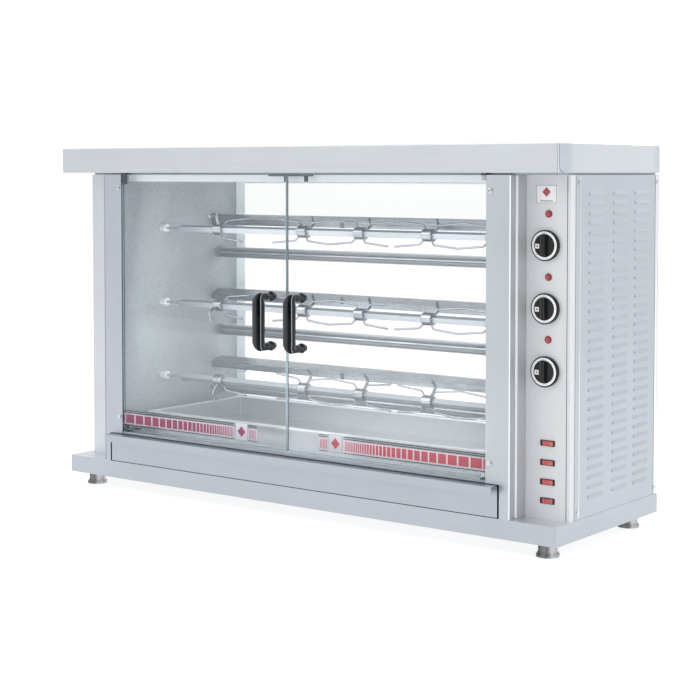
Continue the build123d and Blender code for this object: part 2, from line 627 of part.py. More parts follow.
def pilot_lamp(z):
    """Round indicator: collar, low dome and barrel."""
    collar = rod_y(DIAL_X, Y_PANEL - 2, Y_PANEL, z, 7)
    dome = rod_y(DIAL_X, Y_PANEL - 6, Y_PANEL - 2, z, 5.2)
    dome = fillet(dome.faces().sort_by(Axis.Y)[0].edges(), 2.5)
    return collar + dome + rod_y(DIAL_X, Y_PANEL, Y_PANEL + 22, z, 5)


def rocker_bezel(z):
    """Frame of a rocker switch."""
    frame = block(DIAL_X - ROCKER_W / 2, DIAL_X + ROCKER_W / 2, Y_PANEL - 2, Y_PANEL,
                  z - ROCKER_H / 2, z + ROCKER_H / 2)
    frame = fillet(frame.edges().filter_by(Axis.Y), 1.2)
    return frame - block(DIAL_X - 12.6, DIAL_X + 12.6, Y_PANEL - 3, Y_PANEL + 1, z - 4.3, z + 4.3)


def rocker(z):
    """Rocker that tilts about an upright pin level with the panel face; drawn switched off."""
    drum = rod_z(0, 0, -4.1, 4.1, ROCKER_R)
    for side in (-1, 1):
        drum -= Rot(0, 0, side * ROCKER_TILT) * Pos(side * 10, -13.5, 0) * Box(22, 20, 12)
    drum -= Pos(0, 14, 0) * Box(30, 16, 12)
    return Pos(DIAL_X, Y_PANEL, z) * Rot(0, 0, -ROCKER_TILT) * drum


def terminal_block():
    body = block(X_OPEN_R + 30, X_OPEN_R + 100, d(300), d(324), Z_BODY, Z_BODY + 22)
    ways = [rod_z(X_OPEN_R + 37 + 14 * way, d(312), Z_BODY + 16, Z_BODY + 23, 4) for way in range(5)]
    for way in ways:
        body -= way
    return body


def cable_gland():
    """Gland for the supply cord: hexagon, dome nut and inner lock nut."""
    hexagon = extrude(Plane(origin=(GLAND_X, Y_SERVICE, GLAND_Z), z_dir=(0, 1, 0))
                      * RegularPolygon(15, 6), amount=6)
    nut = rod_y(GLAND_X, Y_SERVICE + 6, Y_SERVICE + 20, GLAND_Z, 12.5)
    nut = fillet(nut.faces().sort_by(Axis.Y)[-1].edges(), 4)
    thread = rod_y(GLAND_X, Y_SERVICE - 8, Y_SERVICE, GLAND_Z, GLAND_THREAD_R)
    lock = rod_y(GLAND_X, Y_SERVICE - SHEET - 4, Y_SERVICE - SHEET, GLAND_Z, 13.5)
    return hexagon + nut + thread + lock - rod_y(GLAND_X, Y_SERVICE - 10, Y_SERVICE + 22, GLAND_Z, 6)


def side_screws():
    """Pan-head screws at the corners of the side panel."""
    heads = []
    for depth in (78, 386):
        for z in (Z_BODY + 14, Z_CEILING - 14):
            heads.append(rod_x(X_SIDE, X_RIGHT, d(depth), z, 4))
    return heads


def wall_screws():
    """Screws that hold the left wall near the drip pan."""
    return [rod_x(X_OPEN_L, X_OPEN_L + 2.5, d(depth), Z_CANOPY - 502, 4) for depth in (290, 306)]


def post_buttons():
    """Domed socket bolts that hold the posts beside the doors."""
    heads = []
    for x in (X_OPEN_L - BUTTON_IN, X_OPEN_R + BUTTON_IN):
        for z in BUTTON_Z:
            head = rod_y(x, d(-3.2), d(0), z, 5)
            head = fillet(head.faces().sort_by(Axis.Y)[0].edges(), 1.8)
            socket = extrude(Plane(origin=(x, d(-4), z), z_dir=(0, 1, 0)) * RegularPolygon(1.8, 6),
                             amount=2.6)
            heads.append(head - socket)
    return heads


# ---------------------------------------------------------------- write every node
def main():
    os.makedirs("parts", exist_ok=True)
    save("base_plinth", base_plinth())
    save("base_bottom_cover", base_cover())
    for number, (x, y) in enumerate(foot_places(), 1):
        save(f"levelling_foot_{number}", foot(x, y))
    save("canopy_shell", canopy_shell())
    save("chamber_ceiling", chamber_ceiling())
    save("chamber_lamp", chamber_lamp())
    save("left_column_cover", left_cover())
    save("chamber_left_wall", chamber_left_wall())
    save("chamber_right_wall", chamber_right_wall(), service_plate())
    save("left_door_post", door_post(-1))
    save("right_door_post", door_post(1))
    save("rear_window_frame", rear_frame())
    save("rear_window_glass", rear_glass())
    save("chamber_floor", chamber_floor())
    save("drip_pan", drip_pan())
    save("louvred_side_panel", side_panel())
    save("control_panel", control_panel())
    save("badge_plate", badge_plate())
    for side, name in ((-1, "left"), (1, "right")):
        save(f"{name}_door_glass", door_pane(side))
        save(f"{name}_door_handle", door_handle(side))
        save(f"{name}_door_pivot_shoes", *[pivot_shoe(side, top) for top in (False, True)])
    save("door_pivot_brackets", *[pivot_bracket(side, top) for side in (-1, 1)
                                  for top in (False, True)])
    save("door_catch", door_catch())
    save("drawer_front", drawer_front())
    save("drawer_tray", drawer_tray())
    save("drawer_runners", *[drawer_runner(x) for x in (DRAWER_X0 + 18, DRAWER_X1 - 18)])
    for number, (z, turn, screw) in enumerate(zip(SPIT_Z, SPIT_TURN, END_SCREW_TURN), 1):
        turned = Pos(0, SPIT_Y, z) * Rot(turn, 0, 0) * Pos(0, -SPIT_Y, -z)
        save(f"spit_{number}_bar", turned * spit_bar(z))
        save(f"spit_{number}_forks", *spit_forks(z, turn, screw))
        save(f"spit_{number}_socket", turned * drive_socket(z))
    save("spit_bearings", *[left_boss(z) for z in SPIT_Z], *[drive_bush(z) for z in SPIT_Z])
    save("spit_gearmotors", *[gearmotor(z) for z in SPIT_Z])
    save("element_roof_covers", *[roof_cover(z) for z in HEAT_Z[0::2]])
    save("element_channels", *[channel_cover(z) for z in HEAT_Z[1::2]])
    save("heating_elements", *[element_rod(z) for z in HEAT_Z])
    save("dial_plates", *[knob_bezel(z) for z in KNOB_Z])
    save("energy_regulators", *[regulator(z) for z in KNOB_Z])
    for number, z in enumerate(KNOB_Z, 1):
        save(f"heat_knob_{number}", knob(z))
    save("pilot_lamps", *[pilot_lamp(z) for z in LAMP_Z])
    save("rocker_frames", *[rocker_bezel(z) for z in ROCKER_Z])
    for number, z in enumerate(ROCKER_Z, 1):
        save(f"rocker_switch_{number}", rocker(z))
    save("terminal_block", terminal_block())
    save("cable_gland", cable_gland())
    save("sheet_screws", *side_screws(), *wall_screws(), *post_buttons())


main()
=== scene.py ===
"""Looks of a counter-top rotisserie broiler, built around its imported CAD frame.

Metres, +Z up, +X to the operator's right, doors towards -Y. The CAD nodes keep their shapes and get
node materials here. What is printed, polished or too fine for CAD is modelled as separate pieces.
"""
import math

import bmesh
import bpy
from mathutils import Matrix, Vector


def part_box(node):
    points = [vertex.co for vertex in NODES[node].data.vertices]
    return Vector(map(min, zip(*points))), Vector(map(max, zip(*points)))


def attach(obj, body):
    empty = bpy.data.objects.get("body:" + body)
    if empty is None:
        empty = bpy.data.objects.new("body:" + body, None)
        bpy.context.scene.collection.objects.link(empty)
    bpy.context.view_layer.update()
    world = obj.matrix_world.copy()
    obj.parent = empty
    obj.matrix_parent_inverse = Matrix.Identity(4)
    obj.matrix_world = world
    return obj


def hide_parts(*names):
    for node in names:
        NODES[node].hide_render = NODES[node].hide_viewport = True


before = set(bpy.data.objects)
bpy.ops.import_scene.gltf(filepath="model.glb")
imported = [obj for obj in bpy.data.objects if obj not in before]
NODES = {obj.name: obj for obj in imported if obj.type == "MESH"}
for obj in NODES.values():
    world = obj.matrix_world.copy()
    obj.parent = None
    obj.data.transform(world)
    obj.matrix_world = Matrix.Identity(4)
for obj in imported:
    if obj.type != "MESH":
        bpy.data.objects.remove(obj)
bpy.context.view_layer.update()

MM = 0.001
SKIN = 0.15 * MM          # thickness of print and polish on a surface


# ---------------------------------------------------------------- colour and shader helpers
def srgb(red, green, blue):
    """Scene-linear colour of a display colour given as 0-255 numbers."""
    def linear(value):
        value /= 255
        return value / 12.92 if value <= 0.04045 else ((value + 0.055) / 1.055) ** 2.4
    return (linear(red), linear(green), linear(blue), 1.0)


def scaled(colour, factor):
    return tuple(min(1.0, part * factor) for part in colour[:3]) + (1.0,)


class Finish:
    """A node material under construction: one Principled shader and the patterns that feed it."""

    def __init__(self, name, **sockets):
        self.material = bpy.data.materials.new(name)
        self.material.use_nodes = True
        tree = self.material.node_tree
        self.nodes, self.links = tree.nodes, tree.links
        self.shader = self.nodes["Principled BSDF"]
        self.place = self.nodes.new("ShaderNodeTexCoord").outputs["Object"]
        for socket, value in sockets.items():
            self.shader.inputs[socket.replace("_", " ")].default_value = value

    def math(self, operation, *values):
        node = self.nodes.new("ShaderNodeMath")
        node.operation = operation
        for socket, value in zip(node.inputs, values):
            self.feed(socket, value)
        return node.outputs[0]

    def feed(self, socket, value):
        if isinstance(value, bpy.types.NodeSocket):
            self.links.new(value, socket)
        else:
            socket.default_value = value

    def stretched(self, scale):
        """Object place with each axis scaled, for grain that runs along one of them."""
        node = self.nodes.new("ShaderNodeMapping")
        node.inputs["Scale"].default_value = scale
        self.links.new(self.place, node.inputs["Vector"])
        return node.outputs[0]

    def noise(self, scale=(1, 1, 1), size=1.0, detail=3.0, rough=0.5):
        node = self.nodes.new("ShaderNodeTexNoise")
        node.inputs["Scale"].default_value = size
        node.inputs["Detail"].default_value = detail
        node.inputs["Roughness"].default_value = rough
        self.links.new(self.stretched(scale), node.inputs["Vector"])
        return node.outputs["Fac"]

    def cells(self, size, feature="F1"):
        node = self.nodes.new("ShaderNodeTexVoronoi")
        node.feature = feature
        node.inputs["Scale"].default_value = size
        self.links.new(self.place, node.inputs["Vector"])
        return node.outputs["Distance"]

    def spread(self, value, low, high, start=0.3, end=0.7):
        """Maps a pattern from start..end to low..high."""
        node = self.nodes.new("ShaderNodeMapRange")
        for socket, number in zip(node.inputs[1:5], (start, end, low, high)):
            socket.default_value = number
        self.links.new(value, node.inputs[0])
        return node.outputs[0]

    def turn(self):
        """Which way a face points, from -1 (left and front) to 1 (right and back)."""
        node = self.nodes.new("ShaderNodeVectorMath")
        node.operation = "DOT_PRODUCT"
        node.inputs[1].default_value = (0.76, 0.65, 0.0)
        self.links.new(self.nodes.new("ShaderNodeNewGeometry").outputs["Normal"], node.inputs[0])
        return node.outputs["Value"]

    def ramp(self, value, stops):
        """Greys along -1..1, given as (place, grey) pairs."""
        node = self.nodes.new("ShaderNodeValToRGB")
        points = node.color_ramp.elements
        points.remove(points[1])
        (place, grey), *others = stops
        points[0].position, points[0].color = (place + 1) / 2, srgb(grey, grey, grey)
        for place, grey in others:
            points.new((place + 1) / 2).color = srgb(grey, grey + 2, grey + 4)
        self.links.new(self.spread(value, 0.0, 1.0, start=-1.0, end=1.0), node.inputs[0])
        return node.outputs["Color"]

    def mixed(self, share, first, second):
        node = self.nodes.new("ShaderNodeMix")
        node.data_type = "RGBA"
        self.feed(node.inputs[0], share)
        self.feed(node.inputs[6], first)
        self.feed(node.inputs[7], second)
        return node.outputs[2]

    def part(self, vector, axis):
        node = self.nodes.new("ShaderNodeSeparateXYZ")
        self.links.new(vector, node.inputs[0])
        return node.outputs[axis]

    def normal(self, axis):
        """How far a face points along an axis, from -1 to 1."""
        return self.part(self.nodes.new("ShaderNodeNewGeometry").outputs["Normal"], axis)

    def square_to(self, axis):
        """1 on faces that point either way along an axis, and 0 on the others."""
        return self.math("GREATER_THAN", self.math("ABSOLUTE", self.normal(axis)), 0.7)

    def colour(self, value):
        self.feed(self.shader.inputs["Base Color"], value)

    def roughness(self, value):
        self.feed(self.shader.inputs["Roughness"], value)

    def bump(self, height, strength, depth):
        node = self.nodes.new("ShaderNodeBump")
        node.inputs["Strength"].default_value = strength
        node.inputs["Distance"].default_value = depth
        self.links.new(height, node.inputs["Height"])
        self.links.new(node.outputs[0], self.shader.inputs["Normal"])


def sheet_grain(finish, upright=False):
    """Fine grain up a sheet, or level along both its flat and its upright faces."""
    if upright:
        return finish.noise((900, 900, 3), detail=2)
    level, wall = finish.noise((3, 800, 3), detail=2), finish.noise((5, 5, 900), detail=2)
    up = finish.square_to("Z")
    return finish.math("ADD", finish.math("MULTIPLY", level, up),
                       finish.math("MULTIPLY", wall, finish.math("SUBTRACT", 1.0, up)))


def clouded(finish, grain, tone, contrast=0.05):
    """Sheet colour with its grain and cloudy handling marks."""
    clouds = finish.noise(size=7, detail=4, rough=0.6)
    shade = finish.math("ADD", finish.spread(grain, 0, 0.5), finish.spread(clouds, 0, 0.5))
    return finish.mixed(shade, scaled(tone, 1 - contrast), scaled(tone, 1 + contrast))


def satin(finish, grain, rough):
    finish.roughness(finish.spread(grain, rough - 0.05, rough + 0.06))
    finish.bump(grain, 0.05, 0.0002)


def brushed(name, tone, rough=0.34, upright=False, contrast=0.05, metal=1.0, top=None,
            glow=0.0):
    """Satin sheet, whose level faces may take a lighter tone as painted light, and which may glow as
    painted light.
    """
    finish = Finish(name, Metallic=metal, Emission_Strength=glow, Emission_Color=tone)
    grain = sheet_grain(finish, upright)
    colour = clouded(finish, grain, tone, contrast)
    # painted light: level faces take the top tone when it is given
    finish.colour(finish.mixed(finish.square_to("Z"), colour, top) if top else colour)
    satin(finish, grain, rough)
    return finish.material


def canopy_sheet(name, tone, painted_shade_tone):
    """Brushed cap with painted light and shade on its end faces: a lighter tone that shades to a
    painted darker tone towards their front and rear folds.
    """
    finish = Finish(name, Metallic=1.0)
    grain = sheet_grain(finish)
    low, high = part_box("canopy_shell")
    ends, depth = finish.square_to("X"), finish.part(finish.place, "Y")
    # masks for painted shade on the end faces, near their front and rear folds
    front = finish.spread(depth, 1.0, 0.0, low.y + 34 * MM, low.y + 58 * MM)
    rear = finish.spread(depth, 0.0, 0.7, high.y - 34 * MM, high.y - 16 * MM)
    painted_shade_mask = finish.math("MULTIPLY", finish.math("ADD", front, rear), ends)
    # painted light: the end faces take a lighter plain tone
    plain = finish.mixed(ends, clouded(finish, grain, tone), scaled(tone, 1.1))
    finish.colour(finish.mixed(painted_shade_mask, plain, painted_shade_tone))
    satin(finish, grain, 0.38)
    return finish.material


def rear_sheet(name, tone, outside, glow):
    """Frame of the rear window: painted light towards the chamber, a near-white tone that also
    glows, and plain sheet towards the back.
    """
    finish = Finish(name, Emission_Color=tone)
    back = finish.math("GREATER_THAN", finish.normal("Y"), 0.5)
    grain = finish.noise((5, 5, 900), detail=2)
    shade = finish.spread(grain, 0, 1)
    # painted light: faces towards the chamber take a near-white tone
    inner = finish.mixed(shade, scaled(tone, 0.98), scaled(tone, 1.02))
    outer = finish.mixed(shade, scaled(outside, 0.93), scaled(outside, 1.07))
    finish.colour(finish.mixed(back, inner, outer))
    # painted light: the faces towards the chamber glow
    painted_glow_faces = finish.math("SUBTRACT", 1.0, back)
    finish.feed(finish.shader.inputs["Emission Strength"], finish.math("MULTIPLY", painted_glow_faces, glow))
    finish.feed(finish.shader.inputs["Metallic"], finish.math("MULTIPLY", back, 0.8))
    satin(finish, grain, 0.5)
    return finish.material


def mottled(name, tone, rough=0.45, contrast=0.07, metal=0.9):
    """Matt inner sheet with a fine blotchy pattern and faint fat haze."""
    finish = Finish(name, Metallic=metal)
    blotch = finish.noise((120, 120, 260), detail=4, rough=0.75)
    haze = finish.noise((4, 4, 6), detail=3)
    shade = finish.math("ADD", finish.spread(blotch, 0, 0.65), finish.spread(haze, 0, 0.35))
    finish.colour(finish.mixed(shade, scaled(tone, 1 - contrast), scaled(tone, 1 + contrast)))
    finish.roughness(finish.spread(haze, rough - 0.06, rough + 0.08))
    finish.bump(blotch, 0.03, 0.0003)
    return finish.material


def polished(name, tone, rough=0.1, contrast=0.06, streak=(6, 500, 500)):
    """Bright drawn or rolled metal with light scuffs along its length."""
    finish = Finish(name, Metallic=1.0)
    scuffs = finish.noise(streak, detail=2)
    stain = finish.noise(size=25, detail=3)
    finish.colour(finish.mixed(finish.spread(stain, 0, 1), scaled(tone, 1 - contrast),
                               scaled(tone, 1 + contrast)))
    finish.roughness(finish.spread(scuffs, rough * 0.6, rough * 1.7))
    finish.bump(scuffs, 0.03, 0.0001)
    return finish.material


def moulded(name, tone, rough=0.25, grain=900, depth=0.06, coat=0.0, shine=0.5):
    """Moulded plastic with a faint leather grain and handling shine."""
    finish = Finish(name, Coat_Weight=coat, Coat_Roughness=0.08, Specular_IOR_Level=shine)
    pores = finish.cells(grain)
    wear = finish.noise(size=60, detail=3)
    finish.colour(finish.mixed(finish.spread(wear, 0, 1), scaled(tone, 0.85), scaled(tone, 1.25)))
    finish.roughness(finish.spread(wear, rough - 0.06, rough + 0.1))
    finish.bump(pores, depth, 0.0002)
    return finish.material


def gloss_with_painted_reflections(name, stops, rough=0.12, metal=0.0, shine=0.1):
    """High gloss with painted reflections: fixed light and dark streaks by the way each face points.
    """
    finish = Finish(name, Metallic=metal, Specular_IOR_Level=shine)
    wear = finish.noise(size=60, detail=3)
    # painted reflections and highlights, set by the way each face points
    painted_reflections = finish.ramp(finish.turn(), stops)
    finish.colour(finish.mixed(finish.spread(wear, 0, 0.12), painted_reflections, srgb(60, 62, 64)))
    finish.roughness(finish.spread(wear, rough - 0.04, rough + 0.08))
    finish.bump(finish.cells(1400), 0.02, 0.0002)
    return finish.material


def glass(name, tone, clearness, rough=0.02):
    """Clear sheet glass: mostly see-through, with a faint body colour and a gloss."""
    finish = Finish(name, Alpha=clearness, Specular_IOR_Level=0.5)
    film = finish.noise((3, 3, 2), detail=3)
    finish.colour(finish.mixed(finish.spread(film, 0, 1), scaled(tone, 0.97), scaled(tone, 1.03)))
    finish.roughness(finish.spread(film, rough, rough + 0.03))
    return finish.material


def enamel(name, tone, rough=0.35, contrast=0.04, grain=500, **sockets):
    """Paint, print or glaze: even colour with slight orange peel."""
    finish = Finish(name, **sockets)
    peel = finish.noise(size=grain, detail=2)
    fade = finish.noise(size=30, detail=3)
    finish.colour(finish.mixed(finish.spread(fade, 0, 1), scaled(tone, 1 - contrast),
                               scaled(tone, 1 + contrast)))
    finish.roughness(finish.spread(fade, rough - 0.05, rough + 0.05))
    finish.bump(peel, 0.04, 0.0002)
    return finish.material


def heat_tinted(name):
    """Element sheath: pale metal with faint straw and blue heat bands along its length."""
    finish = Finish(name, Metallic=0.9)
    bands = finish.noise((14, 2, 2), detail=3)
    finish.colour(finish.mixed(finish.spread(bands, 0, 1), srgb(206, 206, 206), srgb(188, 192, 200)))
    finish.roughness(finish.spread(bands, 0.3, 0.5))
    finish.bump(finish.noise(size=700), 0.06, 0.0002)
    return finish.material


def lens(name, tone, glow):
    """Red translucent moulding with a soft inner light and a fine rib."""
    finish = Finish(name, Coat_Weight=0.5, Coat_Roughness=0.1, Emission_Strength=glow,
                    Emission_Color=tone)
    patch = finish.noise(size=160, detail=2)
    finish.colour(finish.mixed(finish.spread(patch, 0, 1), scaled(tone, 0.7), scaled(tone, 1.15)))
    finish.roughness(finish.spread(patch, 0.18, 0.32))
    finish.bump(finish.noise((1, 1, 900)), 0.08, 0.0002)
    return finish.material


# ---------------------------------------------------------------- materials
# canopy sheet with painted shade near the end folds and painted light on the end faces
CANOPY = canopy_sheet("canopy_sheet", srgb(208, 212, 216), srgb(202, 208, 216))
LEFT_POST = brushed("left_post_sheet", srgb(187, 192, 200), rough=0.38, upright=True)
RIGHT_POST = brushed("right_post_sheet", srgb(191, 197, 202), rough=0.38, upright=True)
COVER = brushed("cover_sheet", srgb(207, 211, 216), rough=0.38, upright=True)
# control panel: painted glow that lifts the shade near the post
PANEL = brushed("panel_sheet", srgb(198, 201, 204), rough=0.5, upright=True, metal=0.15, glow=0.26)
SIDE = brushed("side_sheet", srgb(192, 198, 204), rough=0.48, upright=True, metal=0.8)
# plinth: lighter level faces as painted light
BASE = brushed("base_sheet", srgb(186, 192, 198), rough=0.38, top=srgb(236, 236, 240))
DRAWER = brushed("drawer_sheet", srgb(181, 187, 195), rough=0.38)
WALL = mottled("chamber_wall", srgb(180, 187, 192), rough=0.66, metal=0.3, contrast=0.24)
FLOOR_SHEET = mottled("chamber_floor", srgb(212, 217, 221), rough=0.42)
# rear frame: near-white painted light and a painted glow on its faces towards the chamber
REAR = rear_sheet("rear_sheet", srgb(245, 253, 255), srgb(138, 143, 148), glow=0.14)
PAN = brushed("pan_sheet", srgb(204, 208, 212), rough=0.36, metal=0.8)
HIDDEN = mottled("galvanised_sheet", srgb(170, 176, 180), rough=0.5, contrast=0.14)
ROOF = polished("roof_sheet", srgb(160, 165, 172), rough=0.22, contrast=0.12, streak=(3, 160, 160))
CHANNEL = brushed("channel_sheet", srgb(186, 191, 198), rough=0.45, metal=0.4)
# painted highlight for the pan rim and the spit bearings
RIM = brushed("rim_highlight", srgb(246, 249, 251), rough=0.3, metal=0.6)
BRIGHT = polished("bright_steel", srgb(214, 217, 221), rough=0.1)
# feet: painted reflections in bands by facing
FOOT = gloss_with_painted_reflections("foot_chrome", ((-1.0, 70), (-0.75, 118), (-0.5, 128), (-0.3, 104), (-0.1, 140),
                                (0.12, 190), (0.5, 192), (0.75, 168), (1.0, 225)), metal=0.85)
DULL = polished("pivot_steel", srgb(92, 95, 100), rough=0.3)
SPIT = polished("spit_steel", srgb(152, 156, 162), rough=0.2, contrast=0.12)
BAR_STEEL = brushed("bar_steel", srgb(176, 181, 188), rough=0.36, metal=0.7)
ELEMENT = heat_tinted("element_sheath")
GLASS = glass("door_glass", srgb(228, 238, 240), 0.06)
REAR_GLASS = glass("rear_glass", srgb(240, 246, 248), 0.05)
EDGE_LIGHT = glass("glass_edge_pale", srgb(196, 222, 228), 0.8, rough=0.2)
EDGE_DARK = enamel("glass_edge_deep", srgb(66, 86, 94), rough=0.5)
# handles: painted reflections, a black core and a painted highlight streak
HANDLE = gloss_with_painted_reflections("handle_black", ((-1.0, 96), (-0.8, 70), (-0.4, 60), (-0.24, 26), (-0.12, 2),
                                   (0.2, 2), (0.27, 50), (0.36, 205), (0.45, 50), (0.85, 60),
                                   (1.0, 110)))
# knobs: painted reflections and a painted highlight streak
KNOB = gloss_with_painted_reflections("knob_black", ((-1.0, 120), (-0.8, 66), (-0.7, 22), (-0.3, 8), (0.2, 6), (0.34, 120),
                               (0.46, 16), (0.8, 30), (1.0, 90)), shine=0.3)
BLACK = moulded("satin_black", srgb(20, 20, 22), rough=0.4)
DIAL = moulded("dial_black", srgb(8, 8, 10), rough=0.22, shine=0.35)
WHITE_PRINT = enamel("white_print", srgb(250, 251, 251), rough=0.4)
BADGE = enamel("badge_white", srgb(249, 249, 250), rough=0.3)
MARK_GROUND = enamel("mark_ground", srgb(190, 190, 198), rough=0.45)
BADGE_EDGE = enamel("badge_border", srgb(140, 158, 160), rough=0.4)
ROSE = enamel("rose_print", srgb(136, 66, 94), rough=0.45)
CORAL = enamel("coral_print", srgb(172, 82, 94), rough=0.45)
INK = enamel("ink_line", srgb(34, 44, 50), rough=0.5)
PALE = glass("pale_print", srgb(222, 208, 216), 0.6, rough=0.4)
LAMP_RED = lens("lamp_red", srgb(168, 60, 62), 0.08)
LAMP_RIM = enamel("lamp_rim", srgb(92, 44, 48), rough=0.4)
ROCKER_RED = lens("rocker_red", srgb(196, 92, 90), 0.12)
MOTOR = enamel("motor_enamel", srgb(92, 96, 102), rough=0.4, Metallic=0.3)
CERAMIC = enamel("ceramic", srgb(232, 228, 216), rough=0.25)
# painted highlight on turned edges
EDGE_HIGHLIGHT = brushed("edge_highlight", srgb(240, 243, 247), rough=0.3, upright=True)
SHADE = enamel("edge_shade", srgb(150, 155, 163), rough=0.6)
# painted shadow for the lines in seams and grooves
JOINT_SHADOW = enamel("joint_shadow", srgb(84, 90, 98), rough=0.6)
# ceiling lip face: painted glow
LINTEL = brushed("lintel_sheet", srgb(226, 231, 237), rough=0.5, metal=0.4, glow=0.22)
# post sides: a darker copy of the post sheet as painted shade
RETURN = brushed("post_return_sheet", srgb(184, 187, 192), rough=0.5, upright=True, metal=0.5)
# steps: painted highlight with a painted glow
STEP = brushed("step_edge", srgb(232, 236, 240), rough=0.5, metal=0.0, glow=0.32)
# rear layer sides: a duller copy of the post sheet as painted shade
REAR_RETURN = brushed("rear_return_sheet", srgb(190, 190, 194), rough=0.5, upright=True, metal=0.5)
SEAL = enamel("sill_seal", srgb(168, 176, 182), rough=0.5)
SHOE = polished("shoe_steel", srgb(176, 180, 186), rough=0.3)
FILLER = brushed("joint_filler", srgb(206, 210, 215), rough=0.5, upright=True, metal=0.5)
CLIP = polished("clip_steel", srgb(110, 114, 120), rough=0.3)
TUBE = enamel("lamp_tube", srgb(244, 246, 248), rough=0.2)

NODE_FINISH = {
    "canopy_shell": CANOPY, "base_plinth": BASE, "drawer_front": DRAWER,
    "left_column_cover": COVER, "left_door_post": LEFT_POST, "right_door_post": RIGHT_POST,
    "control_panel": PANEL, "louvred_side_panel": SIDE, "rear_window_frame": REAR,
    "chamber_left_wall": WALL, "chamber_right_wall": WALL, "chamber_floor": FLOOR_SHEET,
    "chamber_ceiling": HIDDEN, "base_bottom_cover": HIDDEN, "drawer_tray": HIDDEN,
    "drawer_runners": HIDDEN, "drip_pan": PAN, "chamber_lamp": TUBE,
    "element_roof_covers": ROOF, "element_channels": CHANNEL,
    "heating_elements": ELEMENT, "spit_bearings": RIM, "sheet_screws": BRIGHT,
    "door_pivot_brackets": DULL, "left_door_pivot_shoes": DULL,
    "right_door_pivot_shoes": SHOE, "left_door_glass": GLASS, "right_door_glass": GLASS,
    "rear_window_glass": REAR_GLASS, "left_door_handle": HANDLE, "right_door_handle": HANDLE,
    "door_catch": BLACK, "badge_plate": BADGE, "dial_plates": DIAL, "pilot_lamps": LAMP_RED,
    "rocker_frames": BLACK, "energy_regulators": BLACK, "terminal_block": CERAMIC,
    "spit_gearmotors": MOTOR, "cable_gland": BLACK,
}
NODE_FINISH.update({f"spit_{n}_{part}": SPIT for n in (1, 2, 3) for part in ("forks", "socket")})
NODE_FINISH.update({f"spit_{n}_bar": BAR_STEEL for n in (1, 2, 3)})
NODE_FINISH.update({f"levelling_foot_{n}": FOOT for n in (1, 2, 3, 4)})
NODE_FINISH.update({f"heat_knob_{n}": KNOB for n in (1, 2, 3)})
NODE_FINISH.update({f"rocker_switch_{n}": ROCKER_RED for n in (1, 2, 3, 4)})

for node, look in NODE_FINISH.items():
    for place in NODES[node].material_slots:
        place.material = look


# ---------------------------------------------------------------- mesh helpers
def border(low, high, width):
    """Outer and inner corners of a rectangular border, once round and back to the first."""
    corners = []
    for a, b in ((0, 0), (1, 0), (1, 1), (0, 1), (0, 0)):
        outer = (low[0] if a == 0 else high[0], low[1] if b == 0 else high[1])
        inner = (outer[0] + width * (1 - 2 * a), outer[1] + width * (1 - 2 * b))
        corners.append((outer, inner))
    return corners


class Piece:
    """A mesh under construction, with one material index for each finish that it is given."""

    def __init__(self, name):
        self.name = name
        self.mesh = bmesh.new()
        self.finishes = []

    def index(self, finish):
        if finish not in self.finishes:
            self.finishes.append(finish)
        return self.finishes.index(finish)

    def loft(self, rings, finish, closed=True):
        """Skins a list of equal rings of points, and caps both ends when closed."""
        index = self.index(finish)
        loops = [[self.mesh.verts.new(point) for point in ring] for ring in rings]
        count = len(rings[0])
        for near, far in zip(loops, loops[1:]):
            for k in range(count):
                face = self.mesh.faces.new((near[k], near[(k + 1) % count],
                                            far[(k + 1) % count], far[k]))
                face.material_index = index
        if closed:
            for loop in (loops[0], loops[-1]):
                self.mesh.faces.new(loop).material_index = index

    def slab(self, low, high, finish):
        """A small block given by two corners."""
        (x0, y0, z0), (x1, y1, z1) = low, high
        ring = [(x0, z0), (x1, z0), (x1, z1), (x0, z1)]
        self.loft([[(x, y, z) for x, z in ring] for y in (y0, y1)], finish)

    def plate(self, outline, y0, y1, finish):
        """A flat outline in X and Z, between two depths."""
        self.loft([[(x, y, z) for x, z in outline] for y in (y0, y1)], finish)

    def tube(self, centre, inner, outer, y0, y1, finish, steps=64):
        """A flat ring about an axis along Y, as a closed band."""
        profile = [(inner, y0), (outer, y0), (outer, y1), (inner, y1)]
        rings = []
        for k in range(steps + 1):
            turn = 2 * math.pi * k / steps
            rings.append([(centre[0] + r * math.cos(turn), y, centre[1] + r * math.sin(turn))
                          for r, y in profile])
        self.loft(rings, finish, closed=False)

    def frame(self, low, high, width, y0, y1, finish):
        """A rectangular border, mitred at its corners."""
        rings = [[(ox, y0, oz), (ix, y0, iz), (ix, y1, iz), (ox, y1, oz)]
                 for (ox, oz), (ix, iz) in border(low, high, width)]
        self.loft(rings, finish, closed=False)

    def done(self, body, smooth=False):
        bmesh.ops.remove_doubles(self.mesh, verts=self.mesh.verts, dist=1e-7)
        bmesh.ops.recalc_face_normals(self.mesh, faces=self.mesh.faces)
        data = bpy.data.meshes.new(self.name)
        self.mesh.to_mesh(data)
        self.mesh.free()
        for finish in self.finishes:
            data.materials.append(finish)
        for face in data.polygons:
            face.use_smooth = smooth
        piece = bpy.data.objects.new(self.name, data)
        bpy.context.scene.collection.objects.link(piece)
        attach(piece, body)
        return piece


# ---------------------------------------------------------------- doors
STRIP_LOW, STRIP_HIGH = 0.1485, 0.1815      # printed strip on the glass
BAR_LOW, BAR_HIGH = 0.1535, 0.1725
LINE = 1.3 * MM


